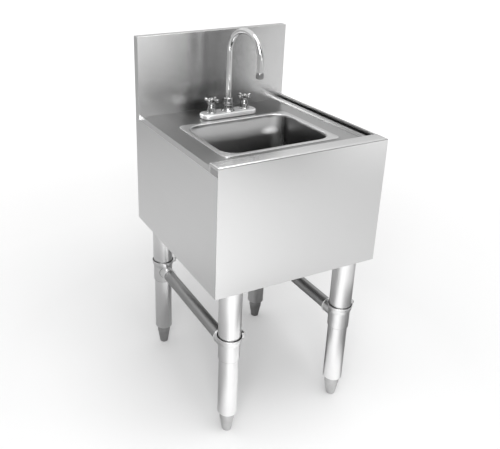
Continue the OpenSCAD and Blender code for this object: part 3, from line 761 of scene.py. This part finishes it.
def makeBowl(points, corner, floorR, flange, flangeCorner, hem, flat, roll, fall, gauge, hole, under):
    centre, low, high = centreOf("bowl_flange")
    wide, deep = ((end - start) / mm - 2 * flange for start, end in ((low.x, high.x), (low.y, high.y)))
    top, floorZ = high.z / mm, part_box("basin_bowl")[0].z / mm + gauge

    def ring(inset, height, radius=None):
        return roundRing(wide - 2 * inset, deep - 2 * inset,
                         corner - inset if radius is None else radius, height, points)

    def towardsHole(share):
        start, end = 1 - share, 2 * hole * share
        return roundRing((wide - 2 * floorR) * start + end, (deep - 2 * floorR) * start + end,
                         (corner - floorR) * start + hole * share, floorZ + fall * start, points)

    share, flatCorner = flat
    rings = [ring(-flange, top - gauge, flangeCorner)]
    rings += [ring(-flange + inset, top - drop, flangeCorner) for inset, drop in hem]
    rings += [ring(-flange * share, top, flatCorner), ring(-roll, top)]
    rings += [ring(-roll + roll * sine, top - roll + roll * cosine) for sine, cosine in quarter(6)[1:]]
    rings += [ring(0, top - roll - (top - roll - floorZ - floorR) * share) for share in (0.3, 0.6, 0.85)]
    rings += [ring(floorR * (1 - cosine), floorZ + fall + (floorR - fall) * (1 - sine))
              for sine, cosine in quarter(8)]
    rings += [towardsHole(share) for share in (0.35, 0.7, 1)]
    rings.append(roundRing(2 * hole, 2 * hole, hole, floorZ - gauge, points))
    rings += [ring(floorR - (floorR + gauge) * cosine, floorZ + floorR - (floorR + gauge) * sine)
              for sine, cosine in quarter(8)[::-1]]
    rings += [ring(-gauge, top - roll - gauge), ring(-gauge - under, top - gauge)]
    shape = moved(loft(rings, closed=True), (centre.x, centre.y, 0))
    piece("bowl", shape, "bowlSteel", "basin_bowl", "bowl_flange", sharp=60)


makeBowl(**bowlSet)
print("bowl done")


# Legs: tubes, collars, rails and feet

corners = {    # names, and which way the rail lies
    "front_left": ("FrontLeft", 1), "front_right": ("FrontRight", 1),
    "rear_left": ("RearLeft", -1), "rear_right": ("RearRight", -1),
}
legSet = {
    "upper": 28.5, "lower": 25.0, "rail": 16.5, "gauge": 1.6, "lip": 0.6, "railLip": 0.4,
    "play": 0.05,        # between a tube and its sleeve
    "sleeve": 27.55, "cup": 28.85, "cupDepth": 11.0, "rim": 32.0, "neck": 1.4,
    "socket": 19.0, "reach": 50.0, "socketLip": 0.8,
    "lug": (11.5, 12.0, 16.0), "lugEdge": 1.5, "lugIn": 0.4,
}


def tube(outer, inner, lip, low, high, sides=96):
    return lathe(softLoop([(inner, low, lip), (outer, low, lip), (outer, high, lip), (inner, high, lip)], 3),
                 sides)


def makeLegs(upper, lower, rail, gauge, lip, railLip, play, sleeve, cup, cupDepth, rim, neck, socket,
             reach, socketLip, lug, lugEdge, lugIn):
    toBack, toFront = (Matrix.Rotation(math.radians(angle), 3, "X") for angle in (-90, 90))    # turns Z
    bore, railBore, collarR, mouth = lower + play, rail + play, rim - neck, socket + socketLip
    arm = lathe(softLoop([(railBore, sleeve), (socket, sleeve - 8), (socket, reach - 2.5, 0.6),
                          (mouth, reach - 2, 0.6), (mouth, reach, 0.7), (railBore, reach, 0.4)], 3), 64)
    for corner, (title, toRail) in corners.items():
        centre = centreOf(corner + "_upper_leg")[0]
        spot = (centre.x, centre.y, 0)
        for kind, outer in (("upper", upper), ("lower", lower)):
            node = corner + "_" + kind + "_leg"
            low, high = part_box(node)
            shape = tube(outer, outer - gauge, lip, low.z / mm, high.z / mm)
            piece(kind + "Leg" + title, moved(shape, spot), "tubeSteel", node)
        low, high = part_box(corner + "_collar")
        base, top = low.z / mm, high.z / mm
        seat = top - cupDepth
        body = lathe(softLoop([
            (bore, base, 0.4), (sleeve - 1, base, 0.8), (sleeve, base + 1.6, 0.8), (sleeve, seat - 9, 5),
            (collarR, seat + 1, 4), (collarR, top - 5, 2), (rim, top - 3, 1), (rim, top, 0.6),
            (rim - 1.2, top, 0.2), (cup, top - 1.7, 0.3), (cup, seat, 0.5), (bore, seat, 0.4)], 4))
        shape = together(
            body, moved(arm, (0, 0, (base + top) / 2 * mm), toBack if toRail > 0 else toFront),
            block(lug, ((cup + lug[0] / 2 - lugIn) * mm, 0, (top - lug[2] / 2) * mm), lugEdge))
        piece("collar" + title, moved(shape, spot), "collarSteel", corner + "_collar")
    for side in ("left", "right"):
        centre, low, high = centreOf(side + "_side_rail")
        shape = tube(rail, rail - gauge, railLip, low.y / mm, high.y / mm, 80)
        piece(side + "Rail", moved(shape, (centre.x, 0, centre.z), toBack), "railSteel", side + "_side_rail")


makeLegs(**legSet)
print("legs done")


footSet = {
    # radius, height above the level, corner radius
    "outline": {
        "floor": ((0, 0), (12, 0, 2.5)),
        "shoulder": ((17.8, -24, 6), (19, -20, 1.2), (19, 0, 1), (8, 0, 0.4), (8, 4, 0.4), (7.2, 4.8)),
        "head": ((7.2, 0, 1.2), (0, 0))},
    "radius": 7.25, "ridge": 0.7, "start": 5.5, "end": 1.5, "pitch": 2.0,    # of the thread
}


def makeFeet(outline, radius, ridge, start, end, pitch):
    for corner, (title, _) in corners.items():
        node = corner + "_foot"
        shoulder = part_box(corner + "_lower_leg")[0].z / mm
        winding = thread(radius, ridge, shoulder + start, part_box(node)[1].z / mm - end, pitch)
        turnedPiece("foot" + title, node, "footMetal", outline, extra=[winding], floor=0, shoulder=shoulder)
    softened("footPlugs", "foot_plugs", "zinc", 0.4)


makeFeet(**footSet)
print("feet done")


screwSet = {
    "start": 28.52, "shank": 2.9, "reach": 11.1, "washer": 4.9, "under": 11.9, "head": 4.95, "end": 15.05,
    "bead": 1.3, "sunk": 0.2, "ripples": 42.0, "flare": 13.5,
}


def makeJoints(leg, start, shank, reach, washer, under, head, end, bead, sunk, ripples, flare):
    # clamp screws in the collars' lugs, and the welds round the rail sockets
    screws, beads = [], []
    screw = together(
        lathe(softLoop([(0, 0), (shank, 0, 0.4), (shank, reach), (washer, reach, 0.2), (washer, under, 0.3),
                        (0, under)]), 32),
        lathe([(0, under), (head - 0.2, under), (head, under + 0.3), (head, end - 0.9), (head - 0.8, end),
               (0, end)], 6))
    weld = shapeOf(grow(beadTree(**beadSet), (leg["socket"] + sunk) * mm, (leg["sleeve"] - sunk) * mm,
                        bead * mm, ripples, flare * mm))
    for corner, (_, toRail) in corners.items():
        low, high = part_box(corner + "_collar")
        stand = centreOf(corner + "_upper_leg")[0]
        screws.append(moved(screw, (stand.x + start * mm, stand.y, high.z - leg["cupDepth"] / 2 * mm),
                            Matrix.Rotation(math.pi / 2, 3, "Y")))
        beads.append(moved(weld, (stand.x, stand.y, (low.z + high.z) / 2),
                           Matrix.Rotation(0 if toRail > 0 else math.pi, 3, "Z")))
    piece("clampScrews", together(*screws), "zinc", "collar_screws", sharp=30)
    piece("socketWelds", together(*beads), "weldSteel", like="front_left_collar")


makeJoints(legSet, **screwSet)
print("screws and welds done")


# Drain

drainSet = {
    "throat": 16.05, "body": 24.0, "wall": 21.6, "flange": 38.0, "length": 44.0, "seat": 40.0,
    "cut": 0.6, "sunk": 0.02, "ridge": 0.5, "start": 3, "end": 8, "pitch": 2.2,    # of the thread
}


def makeDrain(throat, body, wall, flange, length, seat, cut, sunk, ridge, start, end, pitch):
    centre, low, _ = centreOf("drain_body")
    z0 = low.z / mm
    top, seat, core = z0 + length, z0 + seat, body - cut
    shape = together(lathe(softLoop([
        (throat, z0), (core - 2, z0, 1), (core, z0 + 2, 1), (core, top, 0.2), (flange, top, 0.3),
        (flange, top + 0.8, 0.7), (flange - 2, top + 1.8, 1.2), (wall + 1, top + 1.8, 0.8),
        (wall, top + 0.8, 0.6), (wall, seat), (wall - 2.5, seat, 0.5), (wall - 2.5, seat - 3),
        (wall, seat - 5.5, 1.5), (wall, z0 + 6, 2), (throat, z0 + 4, 1)], 4)),
        thread(core + sunk, ridge, z0 + start, top - end, pitch))
    piece("drainCup", moved(shape, (centre.x, centre.y, 0)), "drainSteel", "drain_body")
    softened("strainer", "drain_strainer", "drainSteel", 0.3)
    softened("drainLockNut", "drain_lock_nut", "chrome", 0.8)
    softened("slipNut", "drain_slip_nut", "chrome", 0.8)
    softened("tailpiece", "drain_tailpiece", "chrome", 0.25)
    softened("drainGasket", "drain_gasket", "gasket", 0.5)


makeDrain(**drainSet)
print("drain done")


# Faucet; the outlines' points are (radius, height above the level, corner radius)

faucetSet = {
    "corner": 20.0, "dome": 4.5, "rim": (0.6, 0.7),
    "post": {"foot": ((8, 0), (19, 0, 0.8), (18.6, 1.2, 1), (15.2, 4, 5), (13.6, 10, 8)),
             "head": ((13.1, -5, 1.5), (14, -3.4, 1), (14, 0, 0.7), (8, 0, 0.3))},
    "nut": {"foot": ((8, 0), (13.4, 0, 0.6), (13.4, 2.4, 0.6), (12, 2.9, 0.5)),
            "head": ((12, -2, 1.2), (10.2, 0, 0.8), (8, 0, 0.3))},
    "bonnet": {"foot": ((4.6, 0), (13.5, 0, 0.5), (13.5, 2, 0.8), (12, 3.6, 1.5)),
               "head": ((10.5, -3, 2), (9.5, 0, 0.8), (4.6, 0, 0.2))},
}


def makeFaucet(corner, dome, rim, post, nut, bonnet):
    centre, low, high = centreOf("faucet_base")
    wide, deep = (high.x - low.x) / mm, (high.y - low.y) / mm
    base, top = low.z / mm, high.z / mm

    def ring(inset, height):
        return roundRing(wide - 2 * inset, deep - 2 * inset, corner - inset, height)

    rings = [ring(rim[0], base), ring(0, base + rim[1])]
    rings += [ring(dome * (1 - cosine), top - dome + dome * sine) for sine, cosine in quarter(7)]
    piece("faucetPlate", moved(loft(rings), (centre.x, centre.y, 0)), "plateChrome", "faucet_base", sharp=60)
    turnedPiece("spoutPost", "spout_post", "chrome", post, 6)
    turnedPiece("spoutNut", "spout_collar", "chrome", nut)
    for side in ("left", "right"):
        turnedPiece(side + "Bonnet", side + "_bonnet", "chrome", bonnet)


makeFaucet(**faucetSet)


shankSet = {
    "bore": 6.95, "core": 9.85, "outer": 10.45, "groove": 43.0, "cut": 0.5, "end": 4.0,
    "sunk": 0.02, "ridge": 0.52, "start": 1.5, "stop": 1, "pitch": 1.8,    # of the thread
    "hole": 10.5, "hexR": 16.4, "washer": 18.4, "washerHeight": 2.0,
}


def makeShanks(bore, core, outer, groove, cut, end, sunk, ridge, start, stop, pitch, hole, hexR, washer,
               washerHeight):
    centre, low, high = centreOf("faucet_shanks")
    nutLow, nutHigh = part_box("shank_lock_nuts")
    z0, z1, n0, n1 = (level / mm for level in (low.z, high.z, nutLow.z, nutHigh.z))
    groove, seat = z0 + groove, n1 - washerHeight
    shank = together(
        lathe(softLoop([(bore, z0, 0.3), (core, z0, 0.6), (core, groove), (core - cut, groove + 0.5),
                        (core - cut, groove + 1.5), (core, groove + 2), (core, z1), (0, z1),
                        (0, z1 - end), (bore, z1 - end)]), 48),
        thread(core + sunk, ridge, z0 + start, groove - stop, pitch))
    nut = together(
        lathe([(hole, n0 + 0.4), (hexR - 1.8, n0), (hexR, n0 + 1.3), (hexR, seat), (hole, seat)], 6),
        lathe(softLoop([(hole, seat), (washer, seat, 0.4), (washer, n1, 0.5), (hole, n1)]), 48))
    sides = [(middle, centre.y, 0) for middle in (low.x + outer * mm, high.x - outer * mm)]
    piece("shanks", together(*(moved(shank, spot) for spot in sides)), "brass", "faucet_shanks")
    piece("shankNuts", together(*(moved(nut, spot) for spot in sides)), "brass", "shank_lock_nuts", sharp=30)


makeShanks(**shankSet)


handleSet = {
    "turns": {"left": 35, "right": 12},    # degrees
    "hub": {"foot": ((0, 0), (9.5, 0, 0.5), (10.5, 1.5, 0.8), (9, 6, 3), (8.6, 9, 3), (9.6, 12, 2)),
            "head": ((9.6, -3, 1.5), (7.5, 0, 1), (0, 0))},
    "arm": ((0, 3), (3.5, 3), (3.1, 9, 3), (4, 15, 3), (5, 17.5, 3), (5, 20.5, 3), (2.5, 21.6, 2), (0, 21.7)),
    "button": {"foot": ((0, 0), (4.45, 0)),
               "head": ((4.45, -0.8, 0.6), (3.7, 0, 0.8), (2.7, 0, 0.2), (2.5, -0.35, 0.2), (0, -0.35))},
    "drop": 9.0, "rise": 10.0,    # arms start this far below the top and rise by these degrees
    "voxel": 0.45, "factor": 0.5, "rounds": 6,    # how finely the casting is fused, how far it is smoothed
}


def fused(name, shape, finish, node, voxel, factor, rounds):
    # melts overlapping shapes into one casting with soft inner corners
    rough = placed(name + "Rough", meshOf(name, shape))
    remesh = rough.modifiers.new("fuse", "REMESH")
    remesh.mode, remesh.voxel_size, remesh.use_smooth_shade = "VOXEL", voxel * mm, True
    smooth = rough.modifiers.new("soften", "SMOOTH")
    smooth.factor, smooth.iterations = factor, rounds
    graph = bpy.context.evaluated_depsgraph_get()
    done = bpy.data.meshes.new_from_object(rough.evaluated_get(graph))
    bpy.data.objects.remove(rough)
    dressed(name, done, finish, node, sharp=80)


def makeHandles(turns, hub, arm, button, drop, rise, **casting):
    for side in turns:
        turnedPiece(side + "Button", side + "_handle_button", "chrome", button, 4, 48)
    arm = lathe(softLoop(arm, 5), 32)
    for side, turn in turns.items():
        stem = centreOf(side + "_valve_stem")[0]
        low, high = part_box(side + "_handle")
        z0, z1 = low.z / mm, high.z / mm
        parts = [lathe(softLoop(raised(hub, {"foot": z0, "head": z1}), 5), 64)]
        for quarterTurn in (0, 90, 180, 270):
            spin = (Matrix.Rotation(math.radians(quarterTurn + turn), 3, "Z")
                    @ Matrix.Rotation(math.radians(90 - rise), 3, "Y"))
            parts.append(moved(arm, (0, 0, (z1 - drop) * mm), spin))
        shape = moved(together(*parts), (stem.x, stem.y, 0))
        fused(side + "Handle", shape, "chrome", side + "_handle", **casting)


makeHandles(**handleSet)
print("faucet done")


spoutSet = {
    "tube": 7.95, "bend": 63.5, "turn": 8.0, "steps": 220, "sides": 40,
    "into": 6.0,         # how far the tube goes into the aerator
    "aerator": {"foot": ((6.4, 0, 0.3), (8.9, 0, 0.5), (9.6, 1.4, 0.6)),
                "head": ((9.6, -3.2, 0.8), (9.2, -2.2, 0.6), (9.2, 0, 0.6), (7.96, 0, 0.2)),
                "seat": ((7.96, 0), (6.4, 0))},
    "seat": 5.0,
    "ridges": (40, 9.5, 0.4), "ridgeEnds": 7.0,
}


def spoutTree(steps, sides):
    # a tube that goes up, round a half circle to the front and down
    tree = Growth("gooseneck", "Rise", "Bend", "Drop", "Tube")
    rise, bend, drop, tube = tree.inputs
    line = tree.add("CurvePrimitiveLine", End=(0, 0, 1))
    fine = tree.add("ResampleCurve", Curve=line, Count=steps)
    share = tree.add("SplineParameter").out("Factor")
    way = share * (rise + bend * math.pi + drop)
    angle = ((way - rise) / bend).most(0).least(math.pi)
    fallen = (way - rise - bend * math.pi).most(0)
    height = way.least(rise) + angle.math("SINE") * bend - fallen
    reach = bend - angle.math("COSINE") * bend
    path = tree.add("SetPosition", Geometry=fine, Position=tree.vector(0.0, reach * -1, height))
    return tree.close(tree.skin(path, tree.circle(sides, tube), Fill_Caps=True), "spoutChrome")


def makeSpout(tube, bend, turn, steps, sides, into, aerator, seat, ridges, ridgeEnds):
    low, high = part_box("gooseneck_spout")
    aeratorLow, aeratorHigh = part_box("spout_aerator")
    stem = centreOf("spout_post")[0]
    bend, tube, into = (length * mm for length in (bend, tube, into))
    rise = high.z - low.z - bend - tube
    mesh = grow(spoutTree(steps, sides), rise, bend, rise + low.z - aeratorHigh.z + into, tube)
    turn = Matrix.Rotation(math.radians(turn), 4, "Z")
    mesh.transform(Matrix.Translation((stem.x, stem.y, low.z)) @ turn)
    dressed("gooseneck", mesh, "spoutChrome", "gooseneck_spout", sharp=50)
    count, radius, ridge = ridges
    rise = aeratorHigh.z - aeratorLow.z - ridgeEnds * mm
    ridges = shapeOf(grow(ridgeTree(), count, radius * mm, rise, ridge * mm))
    middle = (aeratorLow.z + aeratorHigh.z) / 2
    turnedPiece("aerator", "spout_aerator", "chrome", aerator, 4,
                extra=[moved(ridges, (0, 0, middle))], seat=aeratorLow.z / mm + seat)


makeSpout(**spoutSet)
print("spout done")


# The pieces that stay as they are, with a better finish

keptFinish = {"rubber": "gasket", "brass": "brass"}
for nodeName, nodeObject in frame["nodes"].items():
    if not nodeObject.hide_render:
        nodeObject.data.materials.clear()
        nodeObject.data.materials.append(finishes[keptFinish[slotOf[nodeName]]])


# Floor, lamps and sky; directions are in degrees to the right of straight ahead

shown = 0.9    # tone of the floor and the sky as the camera sees them

floorSet = {
    "size": 60.0, "rough": 0.7,
    "glow": 0.5, "glowReach": (0.7, 3.0),    # it fades to white by this much
    # as the steel reflects it, it carries painted patches of light and shade round the sink: the distance
    # where each ring begins, then tones by direction
    "rings": (
        (0.0, ((-180, 0.45), (-110, 0.34), (-65, 0.36), (-35, 1.0), (38, 1.0), (55, 0.2), (130, 0.14),
               (155, 0.4))),
        (0.4, ((-180, 0.45), (-90, 0.36), (-50, 0.45), (-32, 1.0), (-12, 1.0), (0, 0.8), (14, 0.35),
               (45, 0.12), (125, 0.14), (150, 0.4))),
        (0.75, ((-180, 0.55), (-150, 0.58), (-120, 0.55), (-66, 0.6), (-48, 1.0), (-34, 1.0), (0, 0.96),
                (18, 0.83), (32, 0.71), (45, 0.68), (70, 0.5), (140, 0.4))),
        (2.1, ((-180, 0.45), (-60, 0.5), (-10, 0.7), (18, 0.6), (22, 0.46), (25.5, 0.3), (27.5, 0.02),
               (31.5, 0.02), (34, 0.5), (36.5, 0.95), (60, 0.6), (120, 0.45))),
    ),
    "ringBlend": 0.15,
    # glowing panel painted on the far floor, seen only by reflections: directions where it begins and ends,
    # distance
    "panel": {"start": (34.5, 37.5), "end": (45, 55), "reach": (2.4, 2.8), "light": 0.6},
}
skySet = {
    "tones": ((0.0, 0.44), (0.28, 0.5), (0.42, 0.86), (0.65, 0.75)),   # by height, as the steel reflects it
    # dark screens round the front
    "flags": {"count": 3.0, "turn": 40.0, "tone": 0.2, "edge": (-0.15, 0.15), "top": (0.5, 0.8),
              "back": (-0.1, 0.2)},
    # dark gap between the lights: direction, edges of its half width
    "gap": {"turn": 29.5, "half": (3.15, 4.5), "tone": 0.04, "top": (0.5, 0.6)},
}
lampSet = {
    "aim": (0, 0, 0.6),
    # name, place, size, watts
    "lamps": (("key", (-1.5, -2.3, 2.2), 1.5, 40), ("front", (0.5, -2.6, 1.0), 1.2, 5),
              ("top", (0.1, -0.5, 2.6), 1.2, 20)),
}


def directionOf(right, back):
    # radians to the right of straight ahead
    return right.math("ARCTAN2", back * -1)


def makeFloor(size, rough, glow, glowReach, rings, ringBlend, panel):
    size = size / 2
    mesh = bpy.data.meshes.new("floor")
    mesh.from_pydata([(-size, -size, 0), (size, -size, 0), (size, size, 0), (-size, size, 0)], [],
                     [(0, 1, 2, 3)])
    floor = placed("floor", mesh)
    paint = Finish("floorPaint", rough, metal=0.0, light=1.0)
    right, back, _ = paint.axes()
    reach = (right * right + back * back).math("SQRT")
    direction = directionOf(right, back) / (2 * math.pi) + 0.5
    reflected = None
    # painted light and shade that only reflections see
    for start, tones in rings:
        ring = paint.ramp([(turn / 360 + 0.5, tone) for turn, tone in tones], direction)
        reflected = ring if reflected is None else paint.tint(
            reflected, ring, reach.between(start, start + ringBlend))
    degrees = (direction - 0.5) * 360
    # a glowing panel, no lamp, seen only by reflections
    lit = degrees.between(*panel["start"]) * (1 - degrees.between(*panel["end"]))
    lit = paint.tint(grey(0), grey(panel["light"]), lit * reach.between(*panel["reach"]))
    glow = paint.tint(grey(0), grey(glow), reach.between(*glowReach))
    toCamera = paint.node("ShaderNodeLightPath").out("Is Camera Ray")
    paint.feed(Base_Color=paint.tint(reflected, grey(shown), toCamera),
               Emission_Color=paint.tint(lit, glow, toCamera))
    mesh.materials.append(paint.material)


def makeLamps(aim, lamps):
    for name, place, width, watts in lamps:
        data = bpy.data.lights.new(name, "AREA")
        data.shape, data.size, data.energy = "SQUARE", width, watts
        lamp = placed(name, data)
        lamp.location = place
        lamp.rotation_euler = (Vector(aim) - Vector(place)).to_track_quat("-Z", "Y").to_euler()
        lamp.visible_camera = False


def makeSky(tones, flags, gap):
    world = bpy.data.worlds.new("studio")
    bpy.context.scene.world = world
    world.use_nodes = True
    world.node_tree.nodes.clear()
    sky = Graph(world.node_tree)
    right, back, up = sky.axes(sky.node("ShaderNodeTexCoord").out("Generated"))
    shade = sky.ramp(tones, up)
    around = directionOf(right, back) * flags["count"] + math.radians(flags["turn"])
    flag = (around.math("SINE").between(*flags["edge"]) * (1 - up.between(*flags["top"]))
            * (1 - back.between(*flags["back"])))
    shade = shade * (1 - flag * (1 - flags["tone"]))
    off = (directionOf(right, back) - math.radians(gap["turn"])).math("ABSOLUTE")
    dark = (1 - off.between(*(math.radians(angle) for angle in gap["half"]))) * (1 - up.between(*gap["top"]))
    shade = shade * (1 - dark * (1 - gap["tone"]))
    toCamera = sky.node("ShaderNodeLightPath").out("Is Camera Ray")
    seen = sky.tint(shade, grey(shown), toCamera)
    glow = sky.node("ShaderNodeBackground", {}, {"Color": seen, "Strength": 1.0})
    sky.node("ShaderNodeOutputWorld", {}, {"Surface": glow})


makeFloor(**floorSet)
makeLamps(**lampSet)
makeSky(**skySet)
bpy.context.scene.view_settings.view_transform = "Standard"
print("studio done")
